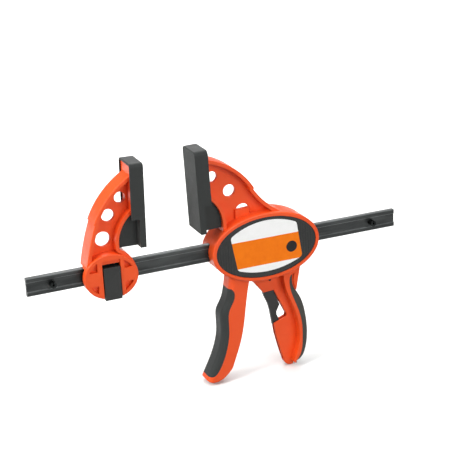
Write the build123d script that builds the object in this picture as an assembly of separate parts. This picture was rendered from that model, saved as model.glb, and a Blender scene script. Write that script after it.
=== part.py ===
from build123d import *
import os
from math import cos, radians, sin, tan

# Quick release bar clamp, one-handed: a steel bar, a pistol-grip handle with a fixed jaw, and a jaw
# that slides on the bar's free end.  Millimetres and degrees throughout.
# X runs along the bar towards its tail, Y across the clamp, Z up towards the jaws' tips.
# While drawing, X = 0 is the middle of the handle jaw's clamping face and Z = 0 is the bar's axis.
# The last step lowers everything so that the origin sits on the middle of that clamping face.

# ---------------------------------------------------------------- driving dimensions
# bar and its stop pins
BAR_LENGTH = 390.0
BAR_HEIGHT = 18.3
BAR_THICKNESS = 5.5
BAR_NOSE_X = -170.0          # the bar's free end, with the clamp set as it is drawn
BAR_GROOVE = 0.9             # depth of the rolled groove on each side of the bar
BAR_RAIL = 4.6               # height of the rail above and below the groove
PIN_RADIUS = 3.0             # slotted spring pin
PIN_BORE = 1.1
PIN_SLOT = 0.7
PIN_LENGTH = 17.5
NOSE_PIN_INSET = 24.5
TAIL_PIN_INSET = 27.0

# clearances
SLIDE_GAP = 0.3              # between a moving piece and what it slides in
FIT_GAP = 0.1                # between fixed pieces that drop into each other
RUNNING_GAP = 0.05           # radial, pin in its moving bore

# rounding of edges
EDGE = 0.8                   # along the nylon mouldings' rims
FINE_EDGE = 0.5              # on thin walls and small pieces
HOUSING_EDGE = 1.5
BAR_EDGE = 1.0               # the bar's four long corners
GROOVE_EDGE = 0.35

# jaw pads, the same pad on both jaws
PAD_HEIGHT = 82.6
PAD_WIDTH = 32.6
PAD_DEPTH = 12.0
PAD_FRONT = 6.0              # rubber in front of the head plate
PAD_SKIN = 2.1               # rubber round the head plate
PAD_LIP = 1.6                # it stands this far proud of the plate's back
PAD_CORNER = 4.2             # rounding of the pad's top corners, seen along the bar
PAD_SKIRT = 28.0             # the side skins start this far above the pad's foot
PAD_WING = 13.2              # width of the block that fills the jaw's inner curve
TOE_IN = 1.5                 # each jaw leans this much towards the other, and springs flat under load
HANDLE_PAD_FOOT = 25.3       # height of the pad's foot above the bar's axis
SLIDE_PAD_FOOT = 23.8
JAW_GAP = 53.1               # between the two clamping faces, at their middles

# jaw arms
WEB = 4.0
FLANGE_WIDTH = 22.0
FLANGE = 3.6
ARM_STEP = 1.0               # the outer flange steps in by this half way down
TAB_DEPTH = (-5.0, -1.0)     # rib on the near side, across the lower half of the lowest hole
INNER_CURVE = [(12.0, 33.0), (22.4, 19.5), (25.2, 0.0)]   # behind the face, above the pad's foot

# housing round the bar
HOUSING_X = 70.2             # middle of the oval
HOUSING_Z = -0.25
HOUSING_A = 57.7             # half length and half height of the oval, outside
HOUSING_B = 35.2
HOUSING_WIDTH = 30.0
COVER_A = 53.7
COVER_B = 31.2
COVER_THICKNESS = 2.8
COVER_RECESS = 0.6           # the cover's face lies this far below the housing's rim
COVER_LEDGE = 2.5            # the ledge that the cover sits on
LABEL_THICKNESS = 0.3
LABEL_CORNER = 4.0
BAFFLE = 3.5                 # walls across the housing that carry the springs
DRIVE_BAFFLE_X = 76.0
BRAKE_BAFFLE_X = 104.0
POST_RADIUS = 3.0
POSTS = [(66.0, 22.0), (92.0, 20.5), (96.5, -19.0)]
SCREW_RADIUS = 1.45
SCREW_HEAD_RADIUS = 2.7
SCREW_HEAD = 1.5
SCREW_LENGTH = 16.0

# trigger
PIVOT_X = 44.0               # trigger's pivot, above the bar
PIVOT_Z = 17.0
PIVOT_PIN_RADIUS = 2.5
PIVOT_PIN_SEAT = 1.9         # how deep the pin sits in each cover
PIVOT_EYE = 6.0
TRIGGER_WIDTH = 22.0
TRIGGER_WALL = 3.0
TRIGGER_FRONT = 3.8          # front wall, measured along X
TRIGGER_ROUND = 6.0          # rounding of the trigger's front edges
TRIGGER_FRONT_MID = (19.8, -82.6)
TRIGGER_MOUTH = (31.2, 72.0) # opening under the housing that it swings in
TRIGGER_SKIN = 1.5           # rubber on the trigger's sides
TRIGGER_PALM = 2.0           # rubber on its front

# drive and brake
DRIVE_PLATE = 2.1
DRIVE_PLATES = 2
DRIVE_PLATE_X = 52.1
DRIVE_PLATE_WIDTH = 18.0
DRIVE_PLATE_TOP = 14.0
DRIVE_PLATE_FOOT = -21.0
NOSE_HEIGHT = (-21.0, -13.0) # the trigger's cross web, which pushes the drive plates
BRAKE_PLATE = 3.0
BRAKE_PLATE_WIDTH = 16.0
BRAKE_PIVOT_X = 84.5
BRAKE_PIVOT_Z = 16.5
BRAKE_PLATE_FOOT = -27.0
BRAKE_TILT = 5.0
BRAKE_SEAT = 4.0             # half length of the rib that holds the brake plate's rounded top
SPRING_WIRE = 1.2
SPRING_RADIUS = 10.65        # to the middle of the wire
DRIVE_COILS = 5.0
BRAKE_COILS = 4.0

# pistol grip and release lever
GRIP_WEB = 6.4               # across the two side walls
GRIP_SLOT = 4.0              # the slot between them, open to the front
GRIP_WIDTH = 24.4
GRIP_CORE = 20.8             # the spine under the rubber
GRIP_ROUND = 5.0             # rounding of the rubber's rear edges
GRIP_BACK_MID = (110.2, -96.6)
LEVER_WIDTH = 3.4
STOP_PIN_X = 76.8
STOP_PIN_Z = -40.4
STOP_PIN_RADIUS = 1.3
STOP_PIN_LENGTH = 7.2

# sliding jaw's boss and its lock, measured behind that jaw's own clamping face
BOSS_X = 37.2
BOSS_Z = -0.8
BOSS_A = 26.8
BOSS_B = 22.5
BOSS_TILT = 5.5
BOSS_WIDTH = 27.0
BOSS_RIM = 3.7
BOSS_REAR = 57.0             # on the far side the boss stops just inside the arm's outer flange
BOSS_ENTRY = (50.0, 70.0)    # here the bar is covered on the near side only
BOSS_SHELL = 6.0             # by a wall of this thickness
POCKET_DEPTH = 4.5
POCKET_BANDS = (13.2, 6.8)   # half width of the upright band and of the level band left between pockets
LOCK_X = (27.6, 45.8)        # the window in the boss
LOCK_TOP = 16.0
LOCK_RISE_TOP = 12.2         # above this the window is only a shallow recess
LOCK_RECESS = 1.8
SPRING_ROOM_TOP = 18.2       # room inside the boss for the lock plate and its spring
SPRING_ROOM_WIDTH = 16.8
BUTTON_GAP = 0.8
BUTTON_TOP = 9.3
BUTTON_FOOT = -23.7
BUTTON_WIDTH = 29.4
BUTTON_WALL = 4.0
BUTTON_FLOOR = 3.6
LOCK_PLATE = 2.4
LOCK_PLATE_LENGTH = 15.0
LOCK_PLATE_WIDTH = 16.0
LOCK_SPRING_RADIUS = 4.2
LOCK_SPRING_WIRE = 0.9
LOCK_COILS = 3.0

# ---------------------------------------------------------------- values worked out from them
handle_face_z = HANDLE_PAD_FOOT + PAD_HEIGHT / 2
slide_face_z = SLIDE_PAD_FOOT + PAD_HEIGHT / 2
head_width = PAD_WIDTH - 2 * PAD_SKIN
cover_face_y = HOUSING_WIDTH / 2 - COVER_RECESS
cover_inner_y = cover_face_y - COVER_THICKNESS
bar_mid_x = BAR_NOSE_X + BAR_LENGTH / 2
window_height = BAR_HEIGHT + 2 * SLIDE_GAP
window_width = BAR_THICKNESS + 2 * SLIDE_GAP


# ---------------------------------------------------------------- small helpers
def outline(*edges):
    """A face in X-Z from lines and curves that follow each other and close."""
    return make_face([edge for piece in edges for edge in piece.edges()])


def slab(face, low, high):
    """A face drawn in X-Z, made solid from Y = low to Y = high."""
    return Pos(0, high, 0) * extrude(Plane.XZ * face, high - low)


def wide(face, width):
    """A face drawn in X-Z, made solid to a width centred on Y = 0."""
    return slab(face, -width / 2, width / 2)


def box_face(x, z):
    """A rectangle in X-Z from its (low, high) pairs."""
    return Pos((x[0] + x[1]) / 2, (z[0] + z[1]) / 2) * Rectangle(x[1] - x[0], z[1] - z[0])


def oval(a, b, x=HOUSING_X, z=HOUSING_Z):
    return Pos(x, z) * Ellipse(a, b)


def disc(x, z, radius):
    return Pos(x, z) * Circle(radius)


def flat_edges(body):
    """The edges of a prism's two flat faces."""
    return [edge for edge in body.edges() if edge.bounding_box().size.Y < 0.001]


def eased(face, width, radius, shortest=0.0):
    """As wide(), with the edges of both flat faces rounded, apart from ones below a length."""
    body = wide(face, width)
    return fillet([edge for edge in flat_edges(body) if edge.length > shortest], radius)


def rounded(face, width, radius, beside):
    """As wide(), with the long edge nearest to the point beside it in X-Z rounded on both sides."""
    body = wide(face, width)
    spot = Vector(beside[0], 0, beside[1])
    flat = flat_edges(body)
    flat.sort(key=lambda edge: (Vector(edge.center().X, 0, edge.center().Z) - spot).length)
    return fillet(flat[:2], radius)


def capped(x, z, width, radius):
    """A block from its (low, high) pairs in X and Z, with its two top corners rounded."""
    body = wide(box_face(x, z), width)
    top = body.edges().filter_by(Axis.X).group_by(Axis.Z)[-1]
    return fillet(top, radius)


def coil(length, radius, wire, turns):
    """A helical spring along +X, from X = 0 to its length."""
    path = Helix(pitch=(length - wire) / turns, height=length - wire, radius=radius)
    section = Plane(origin=path @ 0, z_dir=path % 0) * Circle(wire / 2)
    return Pos(wire / 2, 0, 0) * Rot(0, 90, 0) * sweep(section, path=path, is_frenet=True)


def at_handle_jaw(local):
    """From a pad's own frame (X behind the face, Z above the pad's middle) to the handle jaw."""
    return Pos(0, 0, handle_face_z) * Rot(0, -TOE_IN, 0) * local


def at_sliding_jaw(local):
    """From the sliding jaw's own frame (X behind its clamping face) to its place on the bar."""
    return Pos(-JAW_GAP, 0, 0) * Rot(0, 0, 180) * local


def on_sliding_pad(local):
    """From a pad's own frame to the sliding jaw's frame."""
    return Pos(0, 0, slide_face_z) * Rot(0, -TOE_IN, 0) * local


# ---------------------------------------------------------------- jaw pads
def pad_inner_curve():
    """The jaw's inner curve in the pad's own frame, from the head plate down to the pad's foot."""
    return ThreePointArc(*[(x, z - PAD_HEIGHT / 2) for x, z in INNER_CURVE])


def head_plate():
    """The flat plate at the jaw's tip that carries the pad, in the pad's own frame."""
    low = INNER_CURVE[0][1] - PAD_HEIGHT / 2 - 2
    high = PAD_HEIGHT / 2 - PAD_SKIN
    return capped((PAD_FRONT, PAD_DEPTH), (low, high), head_width, PAD_CORNER - PAD_SKIN)


def jaw_pad():
    """Rubber cap that pushes over the head plate, with a block that fills the inner curve."""
    foot = -PAD_HEIGHT / 2
    head = PAD_HEIGHT / 2
    front = capped((0, PAD_FRONT), (foot, head), PAD_WIDTH, PAD_CORNER)
    front = fillet(front.edges().group_by(Axis.X)[0], EDGE)
    skirt_low = foot + PAD_SKIRT
    back = PAD_DEPTH + PAD_LIP
    cap = capped((PAD_FRONT - 1, back), (skirt_low, head), PAD_WIDTH, PAD_CORNER)
    cap = fillet(cap.edges().group_by(Axis.X)[-1], FINE_EDGE)
    pocket_z = (skirt_low - 1, head - PAD_SKIN)
    pocket = capped((PAD_FRONT, back + 1), pocket_z, head_width, PAD_CORNER - PAD_SKIN)
    curve = pad_inner_curve()
    corner = (PAD_FRONT - 1, (curve @ 0).Y)
    wing = outline(
        curve,
        Line(curve @ 1, (PAD_FRONT - 1, foot)),
        Line((PAD_FRONT - 1, foot), corner),
        Line(corner, curve @ 0),
    )
    wing_block = wide(wing, PAD_WING) - head_plate()
    return front + (cap - pocket) + wing_block


# ---------------------------------------------------------------- jaw arms
def arm_shell(face, holes):
    """A thin web with a flange all round its edge."""
    inner = offset(face, -FLANGE, kind=Kind.ARC)
    flange = eased(face, FLANGE_WIDTH, EDGE, shortest=12) - wide(inner, FLANGE_WIDTH + 2)
    web = wide(face - holes, WEB)
    hole_edges = [edge for edge in flat_edges(web) if edge.is_closed]
    return fillet(hole_edges, FINE_EDGE) + flange


def handle_arm():
    """The fixed jaw's arm, from the head plate down into the housing."""
    tip = (PAD_DEPTH - 3, 98.4)
    curve = Pos(0, handle_face_z) * Rot(0, 0, TOE_IN) * pad_inner_curve()
    upper = ThreePointArc(tip, (39.4, 85.5), (61.0, 61.6))
    step = (upper @ 1) - (ARM_STEP, ARM_STEP)
    lower = ThreePointArc(step, (72.6, 45.0), (92.0, 31.0))
    face = outline(
        upper,
        Line(upper @ 1, step),
        lower,
        Line(lower @ 1, (60.0, 12.0)),
        Line((60.0, 12.0), (26.0, 8.0)),
        Line((26.0, 8.0), curve @ 1),
        curve,
        Line(curve @ 0, (PAD_DEPTH - 3, (curve @ 0).Y)),
        Line((PAD_DEPTH - 3, (curve @ 0).Y), tip),
    )
    holes = disc(20.6, 77.0, 5.4) + disc(38.0, 60.2, 6.2) + disc(51.2, 37.4, 7.3)
    tab = make_face(Polyline((42.2, 28.0), (56.6, 28.0), (56.6, 41.2), (42.2, 40.3), (42.2, 28.0)))
    return arm_shell(face, holes) + slab(tab & face, *TAB_DEPTH)


def sliding_arm():
    """The sliding jaw's arm in that jaw's own frame, from the head plate down into the boss."""
    tip = (PAD_DEPTH - 3, 96.0)
    curve = Pos(0, slide_face_z) * Rot(0, 0, TOE_IN) * pad_inner_curve()
    upper = ThreePointArc(tip, (31.2, 79.6), (49.6, 52.6))
    step = (upper @ 1) - (ARM_STEP, ARM_STEP)
    lower = ThreePointArc(step, (56.6, 26.0), (61.2, 3.0))
    throat = ThreePointArc(curve @ 1, (14.6, 13.0), (10.2, -4.0))
    face = outline(
        upper,
        Line(upper @ 1, step),
        lower,
        Line(lower @ 1, (36.0, -8.0)),
        Line((36.0, -8.0), throat @ 1),
        throat,
        curve,
        Line(curve @ 0, (PAD_DEPTH - 3, (curve @ 0).Y)),
        Line((PAD_DEPTH - 3, (curve @ 0).Y), tip),
    )
    holes = disc(19.9, 72.4, 5.4) + disc(32.8, 56.7, 6.2) + disc(39.7, 34.2, 7.3)
    return arm_shell(face, holes)


# ---------------------------------------------------------------- handle frame
def bar_window():
    """The clear way that the bar needs, the whole length of the clamp."""
    length = BAR_LENGTH + 2 * abs(BAR_NOSE_X)
    return Pos(bar_mid_x, 0, 0) * Box(length, window_width, window_height)


def grip_outline():
    """The pistol grip's side walls, with the notch that shows the release lever."""
    front = Polyline((55.6, -36.6), (61.2, -42.4), (65.2, -47.6), (69.4, -53.2))
    notch = Polyline(front @ 1, (80.6, -52.5), (94.0, -81.4), (93.4, -84.0), (79.4, -89.2))
    shin = Polyline(notch @ 1, (81.2, -101.7), (85.4, -118.9), (89.2, -131.8))
    toe = ThreePointArc(shin @ 1, (93.0, -137.8), (99.6, -138.6))
    inside = Polyline(
        toe @ 1, (101.8, -131.6), (107.0, -104.0), (103.8, -80.0), (96.0, -54.0), (96.0, -26.0),
    )
    return outline(
        front,
        notch,
        shin,
        toe,
        inside,
        Line(inside @ 1, (60.0, -30.0)),
        Line((60.0, -30.0), front @ 0),
    )


def spine_outline():
    """The grip's rear flange, from the housing down to the heel."""
    back = Spline((99.0, -134.6), (108.4, -122.0), (110.6, -104.0), (107.8, -80.0), (101.6, -56.0))
    inner = Spline(
        (89.2, -24.0), (90.6, -50.0), (98.0, -71.0), (103.4, -91.0), (103.6, -113.0), (98.9, -127.4),
    )
    return outline(
        back,
        Line(back @ 1, (107.6, -26.0)),
        Line((107.6, -26.0), inner @ 0),
        inner,
        Line(inner @ 1, (97.4, -133.4)),
        Line((97.4, -133.4), back @ 0),
    )


def slot_outline():
    """The slot that runs down the middle of the grip, for the release lever."""
    return make_face(
        Polyline(
            (52.0, -12.0), (91.0, -12.0), (91.4, -44.0), (96.8, -69.0), (101.4, -90.0), (101.4, -112.0),
            (96.0, -126.0), (91.5, -133.0), (78.0, -134.0), (60.0, -80.0), (52.0, -36.0), (52.0, -12.0),
        )
    )


def grip_core():
    """What the rubber on the grip's back wraps round."""
    skin = (GRIP_WIDTH - GRIP_CORE) / 2
    spine = rounded(spine_outline(), GRIP_CORE, GRIP_ROUND - skin, GRIP_BACK_MID)
    return spine + wide(grip_outline(), GRIP_WEB)


def palm_outline():
    """Side view of the rubber on the grip's back."""
    edge = Spline(
        (100.3, -35.0), (96.2, -36.6), (94.5, -45.0), (100.7, -67.5), (106.6, -88.0),
        (107.2, -108.2), (104.6, -124.6), (97.2, -133.8),
    )
    outer = Spline(
        edge @ 1, (106.4, -130.6), (112.2, -119.0), (114.2, -103.0), (112.4, -80.0), (107.0, -62.0),
        (101.4, -51.4), edge @ 0,
    )
    return outline(edge, outer)


def handle_frame():
    """One moulding: fixed jaw, oval housing and pistol grip."""
    half = HOUSING_WIDTH / 2
    housing = eased(oval(HOUSING_A, HOUSING_B), HOUSING_WIDTH, HOUSING_EDGE)
    frame = housing + handle_arm() + at_handle_jaw(head_plate())
    frame += eased(grip_outline(), GRIP_WEB, FINE_EDGE) + eased(spine_outline(), GRIP_WIDTH, EDGE)

    seat = oval(COVER_A + FIT_GAP, COVER_B + FIT_GAP)
    cavity = oval(COVER_A - COVER_LEDGE, COVER_B - COVER_LEDGE)
    room = slab(seat, cover_inner_y, half + 1) + slab(seat, -half - 1, -cover_inner_y)
    room += wide(cavity, HOUSING_WIDTH)
    baffles = Part()
    baffle_width = 2 * cover_inner_y - 2 * FIT_GAP
    for x in (DRIVE_BAFFLE_X, BRAKE_BAFFLE_X):
        baffles += wide(box_face((x, x + BAFFLE), (-12.5, HOUSING_B)) & cavity, baffle_width)
    seat_x = (BRAKE_PIVOT_X - BRAKE_SEAT, BRAKE_PIVOT_X + BRAKE_SEAT)
    brake_seat = box_face(seat_x, (BRAKE_PIVOT_Z + SLIDE_GAP, HOUSING_B)) & cavity
    brake_seat -= disc(BRAKE_PIVOT_X, BRAKE_PIVOT_Z, BRAKE_PLATE / 2 + RUNNING_GAP)
    baffles += wide(brake_seat, baffle_width)
    mouth = wide(box_face(TRIGGER_MOUTH, (-HOUSING_B - 1.5, HOUSING_Z)), 2 * cover_inner_y)
    tongue = wide(grip_outline(), GRIP_WEB) & mouth
    frame = frame - room - (mouth - tongue) + baffles
    frame -= wide(slot_outline(), GRIP_SLOT)
    frame -= bar_window()
    frame -= wide(disc(STOP_PIN_X, STOP_PIN_Z, STOP_PIN_RADIUS), GRIP_WIDTH)
    frame -= wide(palm_outline(), GRIP_WIDTH + 2) - grip_core()
    return frame


def grip_overmould():
    """Soft rubber moulded round the back of the grip's spine."""
    rubber = rounded(palm_outline(), GRIP_WIDTH, GRIP_ROUND, GRIP_BACK_MID) - grip_core()
    return rubber.solids().sort_by(SortBy.VOLUME)[-1]


# ---------------------------------------------------------------- covers and labels
def cover(side):
    """Oval cover; side is -1 for the front one and +1 for the rear one."""
    low, high = sorted((side * cover_inner_y, side * cover_face_y))
    plate = slab(oval(COVER_A, COVER_B), low, high)
    plate = fillet(plate.edges().sort_by(Axis.Y)[0 if side < 0 else -1], FINE_EDGE)
    seat_low, seat_high = sorted((side * (cover_inner_y - 1), side * (cover_inner_y + PIVOT_PIN_SEAT)))
    return plate - slab(disc(PIVOT_X, PIVOT_Z, PIVOT_PIN_RADIUS), seat_low, seat_high)


def front_cover():
    """The front cover carries three posts that reach across to the rear cover."""
    body = cover(-1)
    for x, z in POSTS:
        body += slab(disc(x, z, POST_RADIUS), -cover_inner_y - 0.5, cover_inner_y)
        body -= slab(disc(x, z, SCREW_RADIUS), cover_face_y - SCREW_LENGTH, cover_inner_y + 1)
    return body


def rear_cover():
    """The rear cover has a countersunk seat for each screw."""
    body = cover(1)
    for x, z in POSTS:
        body -= slab(disc(x, z, SCREW_RADIUS + FIT_GAP), cover_inner_y - 1, cover_face_y + 1)
        body -= slab(disc(x, z, SCREW_HEAD_RADIUS + FIT_GAP), cover_face_y - SCREW_HEAD, cover_face_y + 1)
    return body


def cover_screws():
    """Three pan-head screws from the rear cover into the posts."""
    screws = []
    for x, z in POSTS:
        head = slab(disc(x, z, SCREW_HEAD_RADIUS), cover_face_y - SCREW_HEAD, cover_face_y - 0.2)
        shank = slab(disc(x, z, SCREW_RADIUS), cover_face_y - SCREW_LENGTH + 1, cover_face_y - SCREW_HEAD)
        drive = Pos(x, cover_face_y - 0.2, z) * (Box(3.2, 1.6, 0.7) + Box(0.7, 1.6, 3.2))
        screws.append(head + shank - drive)
    return Compound(screws)


def label_outline():
    """Barrel-shaped label: upright slanted ends, bowed top and bottom."""
    top = ThreePointArc((32.0, 15.6), (66.0, 27.4), (103.2, 20.2))
    bottom = ThreePointArc((108.4, -16.4), (74.0, -25.6), (38.2, -19.6))
    face = outline(top, Line(top @ 1, bottom @ 0), bottom, Line(bottom @ 1, top @ 0))
    return fillet(face.vertices(), LABEL_CORNER)


def label(side):
    low, high = sorted((side * cover_face_y, side * (cover_face_y + LABEL_THICKNESS)))
    return slab(label_outline(), low, high)


# ---------------------------------------------------------------- bar and stop pins
def pin_places():
    return [BAR_NOSE_X + NOSE_PIN_INSET, BAR_NOSE_X + BAR_LENGTH - TAIL_PIN_INSET]


def clamp_bar():
    """Flat steel bar with a shallow rolled groove on each side."""
    bar = Pos(bar_mid_x, 0, 0) * Box(BAR_LENGTH, BAR_THICKNESS, BAR_HEIGHT)
    groove_y = BAR_THICKNESS / 2
    groove_z = BAR_HEIGHT / 2 - BAR_RAIL
    for side in (-1, 1):
        bar -= Pos(bar_mid_x, side * groove_y, 0) * Box(
            BAR_LENGTH + 2, 2 * BAR_GROOVE, 2 * groove_z
        )
    long_edges = bar.edges().filter_by(Axis.X)
    bar = fillet([edge for edge in long_edges if abs(edge.center().Z) > groove_z + 1], BAR_EDGE)
    long_edges = bar.edges().filter_by(Axis.X)
    bar = fillet([edge for edge in long_edges if abs(edge.center().Z) < groove_z + 0.1], GROOVE_EDGE)
    for x in pin_places():
        bar -= wide(disc(x, 0, PIN_RADIUS), BAR_THICKNESS + 2)
    return bar


def stop_pins():
    """Slotted spring pins that keep the jaw and the handle on the bar."""
    pins = []
    for x in pin_places():
        ring = disc(x, 0, PIN_RADIUS) - disc(x, 0, PIN_BORE)
        slot = box_face((x - PIN_SLOT / 2, x + PIN_SLOT / 2), (0, PIN_RADIUS + 1))
        pins.append(wide(ring - slot, PIN_LENGTH))
    return Compound(pins)


# ---------------------------------------------------------------- trigger
def trigger_outline():
    """Side view of the trigger, from its pivot eye down to its tip."""
    front = Spline(
        (31.2, -30.0), (29.4, -41.2), (25.2, -55.0), (20.6, -63.6), (19.7, -72.0), (19.6, -86.0),
        (15.4, -104.7), (8.6, -120.3), (1.6, -133.6),
    )
    tip = Spline(front @ 1, (4.4, -135.6), (14.6, -135.8), (23.2, -130.9), (29.4, -124.4))
    rear = Spline(tip @ 1, (35.4, -108.7), (40.2, -94.6), (46.4, -62.0), (51.3, -35.4))
    shoulder = (51.3, 8.0)
    eye_right = (PIVOT_X + PIVOT_EYE, PIVOT_Z)
    eye_left = (PIVOT_X - PIVOT_EYE, PIVOT_Z)
    return outline(
        front,
        tip,
        rear,
        Line(rear @ 1, shoulder),
        Line(shoulder, eye_right),
        ThreePointArc(eye_right, (PIVOT_X, PIVOT_Z + PIVOT_EYE), eye_left),
        Line(eye_left, front @ 0),
    )


def trigger_palm_outline():
    """Side view of the rubber on the trigger, a little in front of it all the way down."""
    edge = Spline(
        (32.0, -39.4), (34.9, -44.4), (33.8, -51.6), (28.4, -62.0), (27.2, -72.0), (27.0, -86.0),
        (21.8, -109.1), (14.6, -124.0), (9.0, -129.6), (3.4, -129.8),
    )
    return outline(edge, Polyline(edge @ 1, (-6.0, -128.0), (10.0, -41.0), edge @ 0))


def trigger():
    """U-shaped trigger: two side walls that straddle the bar, a front wall and a cross web."""
    inner_width = TRIGGER_WIDTH - 2 * TRIGGER_WALL
    hollow = Pos(TRIGGER_FRONT, TRIGGER_FRONT) * trigger_outline()
    hollow_mid = (TRIGGER_FRONT_MID[0] + TRIGGER_FRONT, TRIGGER_FRONT_MID[1] + TRIGGER_FRONT)
    body = trigger_blank() - rounded(hollow, inner_width, TRIGGER_ROUND - TRIGGER_WALL, hollow_mid)
    body -= wide(box_face((20, 60), (-27.0, 30.0)), inner_width)
    body += wide(box_face((45.6, 51.3), NOSE_HEIGHT), inner_width + 1)
    palm = wide(trigger_palm_outline(), TRIGGER_WIDTH + 2)
    body -= palm - palm_core()
    return body - wide(disc(PIVOT_X, PIVOT_Z, PIVOT_PIN_RADIUS + RUNNING_GAP), TRIGGER_WIDTH + 2)


def trigger_blank():
    """The trigger's outside, rubber included."""
    blank = rounded(trigger_outline(), TRIGGER_WIDTH, TRIGGER_ROUND, TRIGGER_FRONT_MID)
    return fillet(flat_edges(blank), EDGE)


def palm_core():
    """What the trigger's rubber wraps round."""
    core_mid = (TRIGGER_FRONT_MID[0] + TRIGGER_PALM, TRIGGER_FRONT_MID[1])
    core = Pos(TRIGGER_PALM, 0) * trigger_outline()
    return rounded(core, TRIGGER_WIDTH - 2 * TRIGGER_SKIN, TRIGGER_ROUND - TRIGGER_PALM, core_mid)


def trigger_grip():
    """Soft rubber on the trigger's front and sides."""
    return (trigger_blank() & wide(trigger_palm_outline(), TRIGGER_WIDTH + 2)) - palm_core()


def trigger_pin():
    return wide(disc(PIVOT_X, PIVOT_Z, PIVOT_PIN_RADIUS), 2 * (cover_inner_y + PIVOT_PIN_SEAT))


# ---------------------------------------------------------------- drive and brake
def drive_plates():
    """Two steel plates that the trigger pushes, and that grip the bar as they tip."""
    plates = []
    for index in range(DRIVE_PLATES):
        low = DRIVE_PLATE_X + index * DRIVE_PLATE
        plate = Pos(low + DRIVE_PLATE / 2, 0, (DRIVE_PLATE_TOP + DRIVE_PLATE_FOOT) / 2) * Box(
            DRIVE_PLATE, DRIVE_PLATE_WIDTH, DRIVE_PLATE_TOP - DRIVE_PLATE_FOOT
        )
        plates.append(plate - bar_window())
    return Compound(plates)


def drive_spring():
    start = DRIVE_PLATE_X + DRIVE_PLATES * DRIVE_PLATE + FIT_GAP
    length = DRIVE_BAFFLE_X - FIT_GAP - start
    return Pos(start, 0, 0) * coil(length, SPRING_RADIUS, SPRING_WIRE, DRIVE_COILS)


def brake_tilted(local):
    """From the brake plate's own frame (upright, pivot at the origin) to its tilt at rest."""
    return Pos(BRAKE_PIVOT_X, 0, BRAKE_PIVOT_Z) * Rot(0, BRAKE_TILT, 0) * local


def brake_plate_blank(thickness, width):
    length = BRAKE_PIVOT_Z - BRAKE_PLATE_FOOT
    return Pos(0, 0, -length / 2) * Box(thickness, width, length)


def brake_plate():
    """Steel plate that jams on the bar while it leans, and lets go when it stands upright."""
    plate = brake_plate_blank(BRAKE_PLATE, BRAKE_PLATE_WIDTH)
    plate += Rot(90, 0, 0) * Cylinder(BRAKE_PLATE / 2, BRAKE_PLATE_WIDTH)
    hole = BAR_HEIGHT + 2 * SLIDE_GAP + 0.4
    plate -= Pos(0, 0, -BRAKE_PIVOT_Z) * Box(2 * BRAKE_PLATE, window_width, hole)
    return brake_tilted(plate)


def brake_spring():
    reach = (BRAKE_PIVOT_Z + SPRING_RADIUS) * tan(radians(BRAKE_TILT))
    start = BRAKE_PIVOT_X + BRAKE_PLATE / 2 + FIT_GAP + reach * 0.1
    length = BRAKE_BAFFLE_X - FIT_GAP - start
    return Pos(start, 0, 0) * coil(length, SPRING_RADIUS, SPRING_WIRE, BRAKE_COILS)


def release_lever():
    """Finger blade on the brake plate's foot; pulling it stands the plate upright."""
    neck = Polyline((75.6, -17.0), (78.6, -32.0), (78.6, -43.2), (70.0, -47.6), (69.4, -52.0))
    front = Spline(neck @ 1, (70.9, -58.5), (74.1, -66.0), (76.5, -75.5), (78.9, -90.8))
    back = Polyline(
        front @ 1, (86.6, -87.6), (83.6, -80.6), (83.5, -77.0), (87.2, -70.1), (81.4, -54.0),
        (84.2, -32.0), (86.4, -25.0), (86.4, -17.0),
    )
    face = outline(neck, front, back, Line(back @ 1, neck @ 0))
    slot = brake_tilted(brake_plate_blank(BRAKE_PLATE, LEVER_WIDTH + 2))
    return wide(face, LEVER_WIDTH) - slot


def release_stop_pin():
    return wide(disc(STOP_PIN_X, STOP_PIN_Z, STOP_PIN_RADIUS), STOP_PIN_LENGTH)


# ---------------------------------------------------------------- sliding jaw and its lock
def boss_oval(shrink=0.0):
    return Pos(BOSS_X, BOSS_Z) * Rot(0, 0, BOSS_TILT) * Ellipse(BOSS_A - shrink, BOSS_B - shrink)


def lock_window():
    """The way through the boss for the button, with a recess and the spring's room above it."""
    low = BOSS_Z - BOSS_B - 6
    face_y = BOSS_WIDTH / 2
    way = wide(box_face(LOCK_X, (low, LOCK_RISE_TOP)), BOSS_WIDTH + 2)
    way += wide(box_face(LOCK_X, (low, SPRING_ROOM_TOP)), SPRING_ROOM_WIDTH)
    recess = box_face(LOCK_X, (LOCK_RISE_TOP - 1, LOCK_TOP))
    way += slab(recess, face_y - LOCK_RECESS, face_y + 1)
    way += slab(recess, -face_y - 1, -face_y + LOCK_RECESS)
    return way


def sliding_jaw():
    """The sliding jaw's moulding, with a boss round the bar and a window for the lock.

    It is drawn turned half round, so its +Y side here is the near side of the clamp."""
    half = BOSS_WIDTH / 2
    far_oval = boss_oval() & box_face((0, BOSS_REAR), (-40, 40))
    near_half = slab(boss_oval(), 0, half)
    jaw = fillet(near_half.edges().sort_by(Axis.Y)[-1], EDGE) + slab(far_oval, -half, 0)
    jaw += sliding_arm() + on_sliding_pad(head_plate())
    upright, level = POCKET_BANDS
    pockets = (
        boss_oval(BOSS_RIM)
        - box_face((BOSS_X - upright, BOSS_X + upright), (-40, 40))
        - box_face((-10, 90), (BOSS_Z - level, BOSS_Z + level))
    )
    jaw -= slab(pockets, half - POCKET_DEPTH, half + 1) + slab(pockets, -half - 1, -half + POCKET_DEPTH)
    jaw -= lock_window()
    jaw -= bar_window()
    entry = box_face(BOSS_ENTRY, (-window_height / 2, window_height / 2))
    jaw -= slab(entry, -half - 1, half - BOSS_SHELL)
    return at_sliding_jaw(jaw)


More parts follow.
